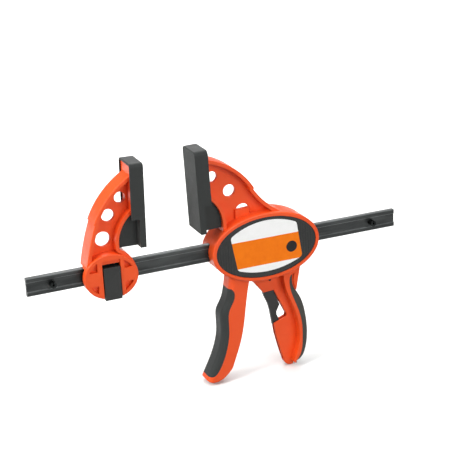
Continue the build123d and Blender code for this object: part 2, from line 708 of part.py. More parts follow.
def jaw_lock_button():
    """U-shaped slider: a plate on each side of the boss, joined by a floor under the bar."""
    span = (LOCK_X[0] + BUTTON_GAP, LOCK_X[1] - BUTTON_GAP)
    block = wide(box_face(span, (BUTTON_FOOT, BUTTON_TOP)), BUTTON_WIDTH)
    body = fillet(block.edges(), FINE_EDGE)
    inside = BUTTON_WIDTH - 2 * BUTTON_WALL
    body -= wide(box_face((0, 80), (BUTTON_FOOT + BUTTON_FLOOR, 40)), inside)
    ledge_top = BAR_HEIGHT / 2 - 0.2
    ledges = wide(box_face(span, (ledge_top - 4, ledge_top)), inside + 1)
    ledges -= Box(200, 2 * (BAR_THICKNESS / 2 + 1.2), 200)
    return at_sliding_jaw(body + ledges)


def lock_plate_box():
    mid = (LOCK_X[0] + LOCK_X[1]) / 2
    low = BAR_HEIGHT / 2 + RUNNING_GAP
    x = (mid - LOCK_PLATE_LENGTH / 2, mid + LOCK_PLATE_LENGTH / 2)
    return x, (low, low + LOCK_PLATE)


def jaw_lock_plate():
    """Steel plate that the spring presses on the bar's top edge, and the button lifts."""
    x, z = lock_plate_box()
    return at_sliding_jaw(wide(box_face(x, z), LOCK_PLATE_WIDTH))


def jaw_lock_spring():
    x, z = lock_plate_box()
    length = SPRING_ROOM_TOP - z[1] - 2 * FIT_GAP
    spring = Rot(0, -90, 0) * coil(length, LOCK_SPRING_RADIUS, LOCK_SPRING_WIRE, LOCK_COILS)
    return at_sliding_jaw(Pos((x[0] + x[1]) / 2, 0, z[1] + FIT_GAP) * spring)


# ---------------------------------------------------------------- every piece, by name
PIECES = {
    "handle_frame": handle_frame,
    "front_cover": front_cover,
    "rear_cover": rear_cover,
    "front_label": lambda: label(-1),
    "rear_label": lambda: label(1),
    "cover_screws": cover_screws,
    "grip_overmould": grip_overmould,
    "handle_jaw_pad": lambda: at_handle_jaw(jaw_pad()),
    "trigger": trigger,
    "trigger_grip": trigger_grip,
    "trigger_pin": trigger_pin,
    "drive_plates": drive_plates,
    "drive_spring": drive_spring,
    "brake_plate": brake_plate,
    "brake_spring": brake_spring,
    "release_lever": release_lever,
    "release_stop_pin": release_stop_pin,
    "clamp_bar": clamp_bar,
    "stop_pins": stop_pins,
    "sliding_jaw": sliding_jaw,
    "sliding_jaw_pad": lambda: at_sliding_jaw(on_sliding_pad(jaw_pad())),
    "jaw_lock_button": jaw_lock_button,
    "jaw_lock_plate": jaw_lock_plate,
    "jaw_lock_spring": jaw_lock_spring,
}

os.makedirs("parts", exist_ok=True)
to_origin = Pos(0, 0, -handle_face_z)
for name, make in PIECES.items():
    export_step(to_origin * make(), f"parts/{name}.step")
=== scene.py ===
import math

import bmesh
import bpy
from mathutils import Matrix, Vector


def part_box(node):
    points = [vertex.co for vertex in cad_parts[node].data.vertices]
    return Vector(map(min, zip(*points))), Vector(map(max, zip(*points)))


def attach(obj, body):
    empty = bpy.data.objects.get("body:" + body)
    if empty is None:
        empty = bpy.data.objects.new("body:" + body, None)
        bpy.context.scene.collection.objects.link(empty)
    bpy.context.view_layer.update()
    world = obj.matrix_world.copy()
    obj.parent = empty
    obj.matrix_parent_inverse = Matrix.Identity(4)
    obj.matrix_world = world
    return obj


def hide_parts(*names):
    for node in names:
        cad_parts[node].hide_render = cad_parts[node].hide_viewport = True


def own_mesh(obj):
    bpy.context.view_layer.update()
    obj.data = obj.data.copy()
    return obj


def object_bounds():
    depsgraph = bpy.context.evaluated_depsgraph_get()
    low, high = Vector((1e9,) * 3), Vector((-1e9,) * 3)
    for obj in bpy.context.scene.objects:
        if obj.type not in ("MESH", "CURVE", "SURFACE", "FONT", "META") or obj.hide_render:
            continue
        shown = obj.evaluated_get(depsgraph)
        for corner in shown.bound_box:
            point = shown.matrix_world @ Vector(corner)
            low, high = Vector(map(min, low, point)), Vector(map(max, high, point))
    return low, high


# A one-handed quick release bar clamp: moulded orange nylon, black nylon, soft rubber and blackened steel.
# Lengths are in metres; mm() reads a size in millimetres.
# X runs along the bar, Y across the clamp (-Y is the near side), Z up towards the jaws' tips.


def mm(value):
    return value * 0.001


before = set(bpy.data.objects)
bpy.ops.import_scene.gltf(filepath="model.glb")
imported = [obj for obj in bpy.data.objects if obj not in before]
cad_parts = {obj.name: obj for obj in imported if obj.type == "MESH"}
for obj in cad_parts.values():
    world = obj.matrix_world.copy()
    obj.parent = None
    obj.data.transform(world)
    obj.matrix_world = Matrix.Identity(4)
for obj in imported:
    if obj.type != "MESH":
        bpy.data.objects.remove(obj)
cad_box = [list(corner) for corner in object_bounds()]
scene = bpy.context.scene

BAR_AXIS_Z = mm(-66.6)
BAR_CORNER_WEAR_AND_HIGHLIGHT = (mm(7.9), mm(8.7))  # distances from the axis, between which the lighter corner band fades in: rubbed wear and a painted highlight along the corner
GROOVE_RIM = mm(4.7)

# ---------------------------------------------------------------- camera
IMAGE_WIDTH = 470
FOCAL_PIXELS = 1305.3
CAMERA_PLACE = Vector((mm(-413.08), mm(-1120.89), mm(385.63)))
CAMERA_AZIMUTH, CAMERA_ELEVATION, CAMERA_ROLL = (math.radians(a) for a in (-22.13, 19.96, -2.79))


def add_camera():
    az, el, roll = CAMERA_AZIMUTH, CAMERA_ELEVATION, CAMERA_ROLL
    back = Vector((math.sin(az) * math.cos(el), -math.cos(az) * math.cos(el), math.sin(el)))
    right = Vector((math.cos(az), math.sin(az), 0.0))
    up = back.cross(right)
    rolled_right = right * math.cos(roll) + up * math.sin(roll)
    rolled_up = up * math.cos(roll) - right * math.sin(roll)
    data = bpy.data.cameras.new("studio_camera")
    data.sensor_width = 36.0
    data.lens = FOCAL_PIXELS * data.sensor_width / IMAGE_WIDTH
    data.clip_start, data.clip_end = 0.05, 20.0
    camera = bpy.data.objects.new("studio_camera", data)
    turn = Matrix((rolled_right, rolled_up, back)).transposed().to_4x4()
    camera.matrix_world = Matrix.Translation(CAMERA_PLACE) @ turn
    scene.collection.objects.link(camera)
    scene.camera = camera


add_camera()


# ---------------------------------------------------------------- colours and node helpers
def colour(code):
    """sRGB hex to the linear colour that the shaders take."""
    channels = [int(code[i : i + 2], 16) / 255 for i in (1, 3, 5)]
    linear = [c / 12.92 if c <= 0.04045 else ((c + 0.055) / 1.055) ** 2.4 for c in channels]
    return (*linear, 1.0)


def grains(size_mm):
    """The scale that makes a texture's grains about this many millimetres across."""
    return 1000.0 / size_mm


def connect(tree, node, links):
    """Feeds a node's inputs. A source is one output, or a node, which stands for its first output."""
    for key, source in links.items():
        output = source.outputs[0] if isinstance(source, bpy.types.Node) else source
        tree.links.new(output, node.inputs[key])


def add_node(tree, kind, settings=None, links=None):
    """Adds a node, sets its properties and fixed inputs, and feeds its other inputs."""
    node = tree.nodes.new("ShaderNode" + kind)
    for key, value in (settings or {}).items():
        if isinstance(key, str) and hasattr(node, key):
            setattr(node, key, value)
        else:
            node.inputs[key].default_value = value
    connect(tree, node, links or {})
    return node


def new_finish(name, fixed):
    """A material whose shader takes the fixed values."""
    material = bpy.data.materials.new(name)
    material.use_nodes = True
    tree = material.node_tree
    shader = tree.nodes["Principled BSDF"]
    for socket, value in fixed.items():
        shader.inputs[socket].default_value = value
    return material, tree, shader


# ---------------------------------------------------------------- materials
def glass_filled_nylon(name, base, deep, rough):
    """Nylon with glass fibre, injection moulded in a spark-eroded tool.

    That leaves a satin skin with an even grain, drawn at 0.6 mm so that it shows, faint cloudy streaks
    where the melt ran along the arms, and a fine parting line down the middle of every flange."""
    material, tree, shader = new_finish(name, {"IOR": 1.53, "Specular IOR Level": 0.36})
    place = add_node(tree, "TexCoord").outputs["Object"]
    flow = add_node(
        tree, "Mapping", {"Scale": (0.35, 1.0, 1.0), "Rotation": (0.0, 0.6, 0.0)}, {"Vector": place}
    )
    streaks = add_node(
        tree, "TexNoise", {"Scale": grains(14.0), "Detail": 3.0, "Roughness": 0.55}, {"Vector": flow}
    )
    grain = add_node(
        tree, "TexNoise", {"Scale": grains(0.6), "Detail": 2.0, "Roughness": 0.6}, {"Vector": place}
    )
    shade = add_node(
        tree, "MapRange", {"From Min": 0.35, "From Max": 0.7, "To Min": 0.0, "To Max": 0.6},
        {"Value": streaks},
    )
    dye = add_node(tree, "Mix", {"data_type": "RGBA", 6: colour(base), 7: colour(deep)}, {0: shade})
    gloss = add_node(
        tree, "MapRange",
        {"From Min": 0.3, "From Max": 0.7, "To Min": rough - 0.05, "To Max": rough + 0.07},
        {"Value": streaks},
    )
    across = add_node(tree, "SeparateXYZ", {}, {"Vector": place}).outputs["Y"]
    off_middle = add_node(tree, "Math", {"operation": "ABSOLUTE"}, {0: across})
    seam = add_node(
        tree, "MapRange", {"From Min": 0.0, "From Max": mm(0.25), "To Min": 1.0, "To Max": 0.0},
        {"Value": off_middle},
    )
    fine = add_node(tree, "Bump", {"Strength": 0.3, "Distance": mm(0.05)}, {"Height": grain})
    cloudy = add_node(
        tree, "Bump", {"Strength": 0.25, "Distance": mm(0.12)}, {"Height": streaks, "Normal": fine}
    )
    parted = add_node(
        tree, "Bump", {"Strength": 0.5, "Distance": mm(0.08)}, {"Height": seam, "Normal": cloudy}
    )
    connect(tree, shader, {"Base Color": dye.outputs[2], "Roughness": gloss, "Normal": parted})
    return material


def black_moulding(name, base, greyed, rough, grain_mm):
    """Black nylon, injection moulded against a textured tool face: a low sheen with an even grain, and
    greyer where handling has polished it in patches."""
    material, tree, shader = new_finish(name, {"IOR": 1.53, "Specular IOR Level": 0.34})
    place = add_node(tree, "TexCoord").outputs["Object"]
    handled = add_node(
        tree, "TexNoise", {"Scale": grains(18.0), "Detail": 4.0, "Roughness": 0.6}, {"Vector": place}
    )
    grain = add_node(
        tree, "TexNoise", {"Scale": grains(grain_mm), "Detail": 2.0, "Roughness": 0.65}, {"Vector": place}
    )
    patch = add_node(
        tree, "MapRange", {"From Min": 0.4, "From Max": 0.7, "To Min": 0.0, "To Max": 0.7},
        {"Value": handled},
    )
    dye = add_node(tree, "Mix", {"data_type": "RGBA", 6: colour(base), 7: colour(greyed)}, {0: patch})
    gloss = add_node(
        tree, "MapRange",
        {"From Min": 0.3, "From Max": 0.7, "To Min": rough + 0.06, "To Max": rough - 0.06},
        {"Value": handled},
    )
    texture = add_node(tree, "Bump", {"Strength": 0.4, "Distance": mm(0.08)}, {"Height": grain})
    connect(tree, shader, {"Base Color": dye.outputs[2], "Roughness": gloss, "Normal": texture})
    return material


def soft_rubber(name, base, dusty, rough, cell_mm, depth_mm):
    """Thermoplastic rubber, moulded over nylon or as a pad: dead matt and a little dusty, with a leathery
    grain of small cells that the fingers can feel."""
    material, tree, shader = new_finish(
        name, {"IOR": 1.5, "Specular IOR Level": 0.32, "Sheen Weight": 0.08, "Sheen Roughness": 0.5}
    )
    place = add_node(tree, "TexCoord").outputs["Object"]
    dust = add_node(
        tree, "TexNoise", {"Scale": grains(9.0), "Detail": 4.0, "Roughness": 0.6}, {"Vector": place}
    )
    cells = add_node(tree, "TexVoronoi", {"Scale": grains(cell_mm), "Randomness": 1.0}, {"Vector": place})
    lint = add_node(
        tree, "TexNoise", {"Scale": grains(cell_mm * 0.7), "Detail": 3.0, "Roughness": 0.6},
        {"Vector": place},
    )
    settled = add_node(
        tree, "MapRange", {"From Min": 0.35, "From Max": 0.7, "To Min": 0.0, "To Max": 0.6}, {"Value": dust}
    )
    dye = add_node(tree, "Mix", {"data_type": "RGBA", 6: colour(base), 7: colour(dusty)}, {0: settled})
    gloss = add_node(
        tree, "MapRange",
        {"From Min": 0.3, "From Max": 0.7, "To Min": rough - 0.05, "To Max": rough + 0.08},
        {"Value": dust},
    )
    cellular = add_node(
        tree, "Bump", {"Strength": 0.45, "Distance": mm(depth_mm)}, {"Height": cells.outputs["Distance"]}
    )
    rough_skin = add_node(
        tree, "Bump", {"Strength": 0.4, "Distance": mm(depth_mm)}, {"Height": lint, "Normal": cellular}
    )
    connect(tree, shader, {"Base Color": dye.outputs[2], "Roughness": gloss, "Normal": rough_skin})
    return material


def black_oxide_bar(name, base, bare_and_highlight, rough):
    """Cold drawn steel bar, blackened and oiled.

    The drawing leaves fine lines along the bar, drawn at 0.4 mm so that they show. The four corners and
    the rims of the groove are greyer in long, broken streaks: partly wear where the jaws rub, and partly a
    painted highlight along those edges."""
    material, tree, shader = new_finish(name, {"Metallic": 0.9})
    place = add_node(tree, "TexCoord").outputs["Object"]
    drawn = add_node(tree, "Mapping", {"Scale": (0.012, 1.0, 1.0)}, {"Vector": place})
    lines = add_node(
        tree, "TexNoise", {"Scale": grains(0.4), "Detail": 3.0, "Roughness": 0.65}, {"Vector": drawn}
    )
    smear = add_node(tree, "Mapping", {"Scale": (0.15, 1.0, 1.0)}, {"Vector": place})
    patches = add_node(
        tree, "TexNoise", {"Scale": grains(7.0), "Detail": 4.0, "Roughness": 0.6}, {"Vector": smear}
    )
    height = add_node(tree, "SeparateXYZ", {}, {"Vector": place}).outputs["Z"]
    above_axis = add_node(tree, "Math", {"operation": "SUBTRACT", 1: BAR_AXIS_Z}, {0: height})
    reach = add_node(tree, "Math", {"operation": "ABSOLUTE"}, {0: above_axis})
    # painted highlight: the corners and the groove rims are made lighter, partly as rubbed wear and partly
    # as a highlight painted along those edges
    corner = add_node(
        tree, "MapRange",
        {"From Min": BAR_CORNER_WEAR_AND_HIGHLIGHT[0], "From Max": BAR_CORNER_WEAR_AND_HIGHLIGHT[1], "To Min": 0.0, "To Max": 1.0},
        {"Value": reach},
    )
    off_rim = add_node(tree, "Math", {"operation": "SUBTRACT", 1: GROOVE_RIM}, {0: reach})
    beside_rim = add_node(tree, "Math", {"operation": "ABSOLUTE"}, {0: off_rim})
    rim = add_node(
        tree, "MapRange", {"From Min": mm(0.2), "From Max": mm(0.7), "To Min": 1.0, "To Max": 0.0},
        {"Value": beside_rim},
    )
    rubbed_and_highlit = add_node(tree, "Math", {"operation": "MAXIMUM"}, {0: corner, 1: rim})
    broken = add_node(
        tree, "MapRange", {"From Min": 0.3, "From Max": 0.65, "To Min": 0.25, "To Max": 0.8},
        {"Value": patches},
    )
    wear_and_highlight = add_node(tree, "Math", {"operation": "MULTIPLY"}, {0: rubbed_and_highlit, 1: broken})
    oxide = add_node(
        tree, "MapRange", {"From Min": 0.35, "From Max": 0.75, "To Min": 0.0, "To Max": 0.25},
        {"Value": patches},
    )
    shown = add_node(tree, "Math", {"operation": "MAXIMUM"}, {0: wear_and_highlight, 1: oxide})
    metal = add_node(tree, "Mix", {"data_type": "RGBA", 6: colour(base), 7: colour(bare_and_highlight)}, {0: shown})
    gloss = add_node(
        tree, "MapRange", {"From Min": 0.3, "From Max": 0.7, "To Min": rough - 0.06, "To Max": rough + 0.1},
        {"Value": lines},
    )
    drawn_lines = add_node(tree, "Bump", {"Strength": 0.4, "Distance": mm(0.03)}, {"Height": lines})
    connect(tree, shader, {"Base Color": metal.outputs[2], "Roughness": gloss, "Normal": drawn_lines})
    return material


def worked_steel(name, base, dull, rough, streak, width_mm):
    """Bright steel with the marks of how it was worked: tumbling leaves short random scratches, drawing or
    plating leaves them longer one way."""
    material, tree, shader = new_finish(name, {"Metallic": 1.0})
    place = add_node(tree, "TexCoord").outputs["Object"]
    along = add_node(tree, "Mapping", {"Scale": streak}, {"Vector": place})
    marks = add_node(
        tree, "TexNoise", {"Scale": grains(width_mm), "Detail": 3.0, "Roughness": 0.7}, {"Vector": along}
    )
    stain = add_node(
        tree, "TexNoise", {"Scale": grains(6.0), "Detail": 3.0, "Roughness": 0.6}, {"Vector": place}
    )
    dullness = add_node(
        tree, "MapRange", {"From Min": 0.35, "From Max": 0.7, "To Min": 0.0, "To Max": 0.7},
        {"Value": stain},
    )
    metal = add_node(tree, "Mix", {"data_type": "RGBA", 6: colour(base), 7: colour(dull)}, {0: dullness})
    gloss = add_node(
        tree, "MapRange",
        {"From Min": 0.3, "From Max": 0.7, "To Min": rough - 0.08, "To Max": rough + 0.12},
        {"Value": marks},
    )
    scratched = add_node(tree, "Bump", {"Strength": 0.4, "Distance": mm(0.02)}, {"Height": marks})
    connect(tree, shader, {"Base Color": metal.outputs[2], "Roughness": gloss, "Normal": scratched})
    return material


def printed_film(name, ink, thin_ink, rough):
    """Screen-printed polypropylene film under a satin varnish: even ink, a shade thinner in places, and a
    faint orange-peel in the varnish."""
    material, tree, shader = new_finish(
        name, {"IOR": 1.49, "Specular IOR Level": 0.22, "Coat Weight": 0.03, "Coat Roughness": 0.25}
    )
    place = add_node(tree, "TexCoord").outputs["Object"]
    peel = add_node(
        tree, "TexNoise", {"Scale": grains(1.6), "Detail": 2.0, "Roughness": 0.5}, {"Vector": place}
    )
    cover = add_node(
        tree, "TexNoise", {"Scale": grains(6.0), "Detail": 3.0, "Roughness": 0.5}, {"Vector": place}
    )
    thin = add_node(
        tree, "MapRange", {"From Min": 0.35, "From Max": 0.7, "To Min": 0.0, "To Max": 1.0},
        {"Value": cover},
    )
    dye = add_node(tree, "Mix", {"data_type": "RGBA", 6: colour(ink), 7: colour(thin_ink)}, {0: thin})
    gloss = add_node(
        tree, "MapRange",
        {"From Min": 0.3, "From Max": 0.7, "To Min": rough - 0.03, "To Max": rough + 0.05},
        {"Value": cover},
    )
    varnish = add_node(tree, "Bump", {"Strength": 0.25, "Distance": mm(0.02)}, {"Height": peel})
    connect(tree, shader, {"Base Color": dye.outputs[2], "Roughness": gloss, "Normal": varnish})
    return material


ORANGE_NYLON = glass_filled_nylon("orange_glass_filled_nylon", "#EC531B", "#E44A17", 0.4)
COVER_NYLON = black_moulding("black_cover_nylon", "#171918", "#1D1F1E", 0.5, 0.5)
LEVER_NYLON = black_moulding("black_lever_nylon", "#111312", "#181A19", 0.46, 0.4)
GRIP_RUBBER = soft_rubber("trigger_soft_rubber", "#252827", "#313433", 0.62, 1.1, 0.1)
PALM_RUBBER = soft_rubber("palm_soft_rubber", "#373632", "#45423D", 0.62, 1.1, 0.1)
PAD_RUBBER = soft_rubber("moulded_pad_rubber", "#1B1E1D", "#262928", 0.58, 0.8, 0.06)
# painted light: the clamping face's rubber is a lighter grey than the sides, standing in for the lamp that
# falls on that face
PAD_FACE_LIT_RUBBER = soft_rubber("pebbled_pad_face_lit_rubber", "#252827", "#333634", 0.66, 1.4, 0.22)
# the lighter bare colour also paints highlights along the bar's corners and groove rims
BAR_STEEL = black_oxide_bar("black_oxide_bar_steel", "#2B2D2D", "#6E7171", 0.38)
PIN_STEEL = worked_steel("black_oxide_pin_steel", "#1E2020", "#2C2F2F", 0.38, (1.0, 0.2, 1.0), 0.5)
PLATE_STEEL = worked_steel("tumbled_plate_steel", "#A5A6A4", "#7F7E7A", 0.36, (1.0, 1.0, 0.4), 0.5)
ZINC_STEEL = worked_steel("zinc_plated_steel", "#C9CACB", "#9FA2A4", 0.28, (1.0, 0.4, 1.0), 0.5)
SPRING_STEEL = worked_steel("drawn_spring_wire", "#8E8F90", "#6A6A69", 0.3, (1.0, 1.0, 1.0), 0.4)
LABEL_WHITE = printed_film("white_label_film", "#FDFDFC", "#F8F9F7", 0.42)
LABEL_ORANGE = printed_film("orange_label_ink", "#F87D08", "#F27504", 0.42)
LABEL_BLACK = printed_film("black_label_ink", "#080808", "#0D0C0C", 0.42)


# ---------------------------------------------------------------- making pieces
MERGE_DISTANCE = mm(0.002)
FLAT_ANGLE = math.radians(0.05)  # neighbouring triangles that lean less than this are one face
SMOOTH_ANGLE = 40.0  # degrees; sharper edges stay crisp
SPRING_SMOOTH_ANGLE = 50.0
PIN_SMOOTH_ANGLE = 35.0


def linked_object(bm, name, materials):
    """Ends a bmesh as an object in the scene, at the origin."""
    mesh = bpy.data.meshes.new(name)
    bm.to_mesh(mesh)
    bm.free()
    for material in materials:
        mesh.materials.append(material)
    made = bpy.data.objects.new(name, mesh)
    scene.collection.objects.link(made)
    return made


def merged_copy(node):
    """A bmesh of a CAD node, with its loose triangles merged and its flat faces made whole."""
    bm = bmesh.new()
    bm.from_mesh(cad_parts[node].data)
    bmesh.ops.remove_doubles(bm, verts=bm.verts, dist=MERGE_DISTANCE)
    bmesh.ops.dissolve_limit(
        bm, angle_limit=FLAT_ANGLE, use_dissolve_boundaries=False, verts=bm.verts, edges=bm.edges,
        delimit=set(),
    )
    return bm


def bevel_edges(bm, edges, width, segments=2):
    bmesh.ops.bevel(
        bm, geom=edges, offset=width, offset_type="OFFSET", segments=segments, profile=0.5,
        affect="EDGES", material=-1, clamp_overlap=True,
    )


def finish_piece(bm, name, body, materials, nodes, smooth_angle=SMOOTH_ANGLE):
    """Turns a bmesh into a piece that rides on a body and stands for CAD nodes."""
    for edge in bm.edges:
        edge.smooth = edge.calc_face_angle(0.0) < math.radians(smooth_angle)
    for face in bm.faces:
        face.smooth = True
    piece = linked_object(bm, name, materials)
    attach(piece, body)
    if nodes:
        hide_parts(*nodes)
    return piece


def flatten_shading(piece):
    """Keeps the flat faces flat-looking right up to their rounded edges."""
    weighted = piece.modifiers.new("flat_faces_first", "WEIGHTED_NORMAL")
    weighted.mode = "FACE_AREA"
    weighted.weight = 50
    weighted.keep_sharp = True
    return piece


# the mouldings that keep their drawn shape
for node, name, body, material, slot in (
    ("handle_frame", "handle_moulding", "handle", ORANGE_NYLON, "frame_nylon"),
    ("sliding_jaw", "sliding_jaw_moulding", "jaw", ORANGE_NYLON, "frame_nylon"),
    ("trigger", "trigger_moulding", "trigger", ORANGE_NYLON, "frame_nylon"),
    ("front_cover", "front_cover_plate", "handle", COVER_NYLON, "cover_nylon"),
    ("rear_cover", "rear_cover_plate", "handle", COVER_NYLON, "cover_nylon"),
    ("grip_overmould", "palm_rubber", "handle", PALM_RUBBER, "soft_rubber"),
    ("trigger_grip", "trigger_rubber", "trigger", GRIP_RUBBER, "soft_rubber"),
    ("release_lever", "release_blade", "release", LEVER_NYLON, "lever_nylon"),
    ("jaw_lock_button", "lock_button", "lock", LEVER_NYLON, "lever_nylon"),
):
    flatten_shading(finish_piece(merged_copy(node), name, body, [material], [node]))


CLAMPING_FACE_AREA = mm(20.0) ** 2  # only the clamping face is larger and looks at the work


def rubber_pad(node, name, body, toward_work):
    """A jaw pad: smooth sides, and a pebbled face on the side that meets the work, in a lighter grey that
    is painted light from the lamp on that side.
    """
    bm = merged_copy(node)
    for face in bm.faces:
        if face.normal.x * toward_work > 0.99 and face.calc_area() > CLAMPING_FACE_AREA:
            face.material_index = 1
    rubbers = [PAD_RUBBER, PAD_FACE_LIT_RUBBER]
    return flatten_shading(finish_piece(bm, name, body, rubbers, [node]))


rubber_pad("handle_jaw_pad", "handle_pad", "handle", -1.0)
rubber_pad("sliding_jaw_pad", "sliding_pad", "jaw", 1.0)


# ---------------------------------------------------------------- bar, pins and screws
BAR_END_BEVEL = mm(0.45)
PIN_CONE = mm(0.5)
PIN_SHORTEST_EDGE = mm(0.003)


def drawn_bar():
    """The grooved bar, with its two sawn ends deburred."""
    bm = merged_copy("clamp_bar")
    ends = [min(v.co.x for v in bm.verts), max(v.co.x for v in bm.verts)]
    rims = [e for e in bm.edges if any(all(abs(v.co.x - x) < mm(0.01) for v in e.verts) for x in ends)]
    bevel_edges(bm, rims, BAR_END_BEVEL)
    return flatten_shading(finish_piece(bm, "grooved_bar", "bar", [BAR_STEEL], ["clamp_bar"]))


drawn_bar()


def slotted_pins():
    """Rolled spring pins. Their ends are coned at every rim, which helps them into the bar."""
    bm = merged_copy("stop_pins")
    reach = max(abs(v.co.y) for v in bm.verts)
    rims = [e for e in bm.edges if all(abs(v.co.y) > reach * 0.99 for v in e.verts)]
    bevel_edges(bm, rims, PIN_CONE, 1)
    bmesh.ops.dissolve_degenerate(bm, dist=PIN_SHORTEST_EDGE, edges=bm.edges)
    return finish_piece(
        bm, "slotted_pins", "bar", [PIN_STEEL], ["stop_pins"], PIN_SMOOTH_ANGLE
    )


slotted_pins()

# the steel pieces that stay as they are drawn, apart from their finish
for node, material in (
    ("drive_plates", PLATE_STEEL),
    ("brake_plate", PLATE_STEEL),
    ("jaw_lock_plate", PIN_STEEL),
    ("cover_screws", ZINC_STEEL),
    ("trigger_pin", ZINC_STEEL),
    ("release_stop_pin", PIN_STEEL),
):
    kept_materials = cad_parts[node].data.materials
    kept_materials.clear()
    kept_materials.append(material)


# ---------------------------------------------------------------- springs
ALONG_X, ALONG_Z = 0, 2
WIRE_SIDES = 10
STEPS_A_TURN = 28
THICK_WIRE, THIN_WIRE = mm(1.2), mm(0.9)


def wound_spring(node, name, body, axis, wire, turns):
    """A compression spring wound in its CAD node's place, with closed wire ends."""
    low, high = (Vector(corner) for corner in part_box(node))
    across = 1 if axis == ALONG_X else 0
    radius = (high[across] - low[across]) / 2 - wire / 2
    length = high[axis] - low[axis] - wire
    start = (low + high) / 2
    start[axis] = low[axis] + wire / 2
    way, out = Vector((1.0, 0.0, 0.0)), Vector((0.0, 0.0, 1.0))
    if axis == ALONG_Z:
        way, out = out, way
    bm = bmesh.new()
    # the wire's section lies in the plane that holds the axis, and is swept round it
    ring = bmesh.ops.create_circle(bm, cap_ends=False, segments=WIRE_SIDES, radius=wire / 2)["verts"]
    turn = Matrix((out, way, out.cross(way))).transposed().to_4x4()
    bmesh.ops.transform(bm, matrix=Matrix.Translation(start + out * radius) @ turn, verts=ring)
    steps = int(turns * STEPS_A_TURN)
    bmesh.ops.spin(
        bm, geom=bm.edges[:], cent=start, axis=way, dvec=way * (length / steps), angle=turns * math.tau,
        steps=steps, use_merge=False, use_duplicate=False,
    )
    loose_ends = [e for e in bm.edges if e.is_boundary]
    bmesh.ops.holes_fill(bm, edges=loose_ends, sides=WIRE_SIDES)
    bmesh.ops.recalc_face_normals(bm, faces=bm.faces)
    return finish_piece(
        bm, name, body, [SPRING_STEEL], [node], SPRING_SMOOTH_ANGLE
    )


drive = wound_spring("drive_spring", "wound_drive_spring", "handle", ALONG_X, THICK_WIRE, 5.0)
wound_spring("brake_spring", "wound_brake_spring", "handle", ALONG_X, THICK_WIRE, 4.0)
lock = wound_spring("jaw_lock_spring", "wound_lock_spring", "jaw", ALONG_Z, THIN_WIRE, 3.0)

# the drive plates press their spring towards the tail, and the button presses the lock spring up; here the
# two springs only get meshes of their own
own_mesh(drive)
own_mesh(lock)


# ---------------------------------------------------------------- cover ribs
COVER_MIDDLE = (mm(70.2), mm(-66.85))
RIB_FIELD = (mm(52.5), mm(30.0))  # half length and half height of the oval that the ribs keep inside
RIB_PITCH = mm(2.7)
RIB_WIDTH = mm(0.95)
RIB_HEIGHT = mm(0.35)  # below the housing's rim, which stands 0.6 mm proud of the cover
RIB_ROOT = mm(0.3)  # sunk into the cover
RIB_SHORTEST = mm(4.0)
RIB_ROUNDING = mm(0.2)
LABEL_LEFT = ((mm(32.0), mm(-51.0)), (mm(38.2), mm(-86.2)))  # the label's slanted ends, top and foot
LABEL_RIGHT = ((mm(103.2), mm(-46.4)), (mm(108.4), mm(-83.0)))
RIB_TO_LABEL = mm(1.2)


def label_end_height(end, x):
    """How high the label's slanted end is at x."""
    (top_x, top_z), (foot_x, foot_z) = end
    return top_z + (foot_z - top_z) * (x - top_x) / (foot_x - top_x)


def rib_span(x):
    """The lowest and highest point of a rib at x, clear of the label, or None where it has no room."""
    along = (x - COVER_MIDDLE[0]) / RIB_FIELD[0]
    if abs(along) >= 1.0:
        return None
    reach = RIB_FIELD[1] * math.sqrt(1.0 - along * along)
    low, high = COVER_MIDDLE[1] - reach, COVER_MIDDLE[1] + reach
    left, right = x + RIB_WIDTH / 2 + RIB_TO_LABEL, x - RIB_WIDTH / 2 - RIB_TO_LABEL
    if left > LABEL_LEFT[0][0] and right < LABEL_RIGHT[1][0]:
        if left < LABEL_LEFT[1][0]:
            high = min(high, label_end_height(LABEL_LEFT, left))
        elif right > LABEL_RIGHT[0][0]:
            low = max(low, label_end_height(LABEL_RIGHT, right))
        else:
            return None
    return (low, high) if high - low > RIB_SHORTEST else None


def cover_ribs(node, name, side):
    """Fine upright ribs on a cover's face, on both sides of its label."""
    low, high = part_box(node)
    face_y = low[1] if side < 0 else high[1]
    bm = bmesh.new()
    count = int(2 * RIB_FIELD[0] / RIB_PITCH)
    for index in range(count + 1):
        x = COVER_MIDDLE[0] + (index - count / 2) * RIB_PITCH
        span = rib_span(x)
        if span is None:
            continue
        size = Matrix.Diagonal((RIB_WIDTH, RIB_HEIGHT + RIB_ROOT, span[1] - span[0], 1.0))
        place = Vector((x, face_y + side * (RIB_HEIGHT - RIB_ROOT) / 2, (span[0] + span[1]) / 2))
        bmesh.ops.create_cube(bm, size=1.0, matrix=Matrix.Translation(place) @ size)
    proud = [e for e in bm.edges if all((v.co.y - face_y) * side > 0.0 for v in e.verts)]
    bevel_edges(bm, proud, RIB_ROUNDING)
    return finish_piece(bm, name, "handle", [COVER_NYLON], [])


cover_ribs("front_cover", "front_cover_ribs", -1)
cover_ribs("rear_cover", "rear_cover_ribs", 1)


# ---------------------------------------------------------------- labels
LABEL_BAND = (mm(-84.65), mm(-56.85))  # the orange band's foot and top
SPOT_PLACE = (mm(97.0), mm(-71.0))
SPOT_RADIUS = mm(5.8)
SPOT_THICKNESS = mm(0.08)
SPOT_ROOT = mm(0.02)  # sunk into the film
SPOT_ROUNDING = mm(0.04)


def printed_label(node, name):
    """A barrel-shaped film, white with a wide orange band."""
    bm = merged_copy(node)
    for height in LABEL_BAND:
        bmesh.ops.bisect_plane(
            bm, geom=bm.verts[:] + bm.edges[:] + bm.faces[:], dist=mm(0.001), plane_co=(0.0, 0.0, height),
            plane_no=(0.0, 0.0, 1.0), clear_inner=False, clear_outer=False,
        )
    for face in bm.faces:
        face.material_index = int(LABEL_BAND[0] < face.calc_center_median().z < LABEL_BAND[1])
    return finish_piece(bm, name, "handle", [LABEL_WHITE, LABEL_ORANGE], [node])


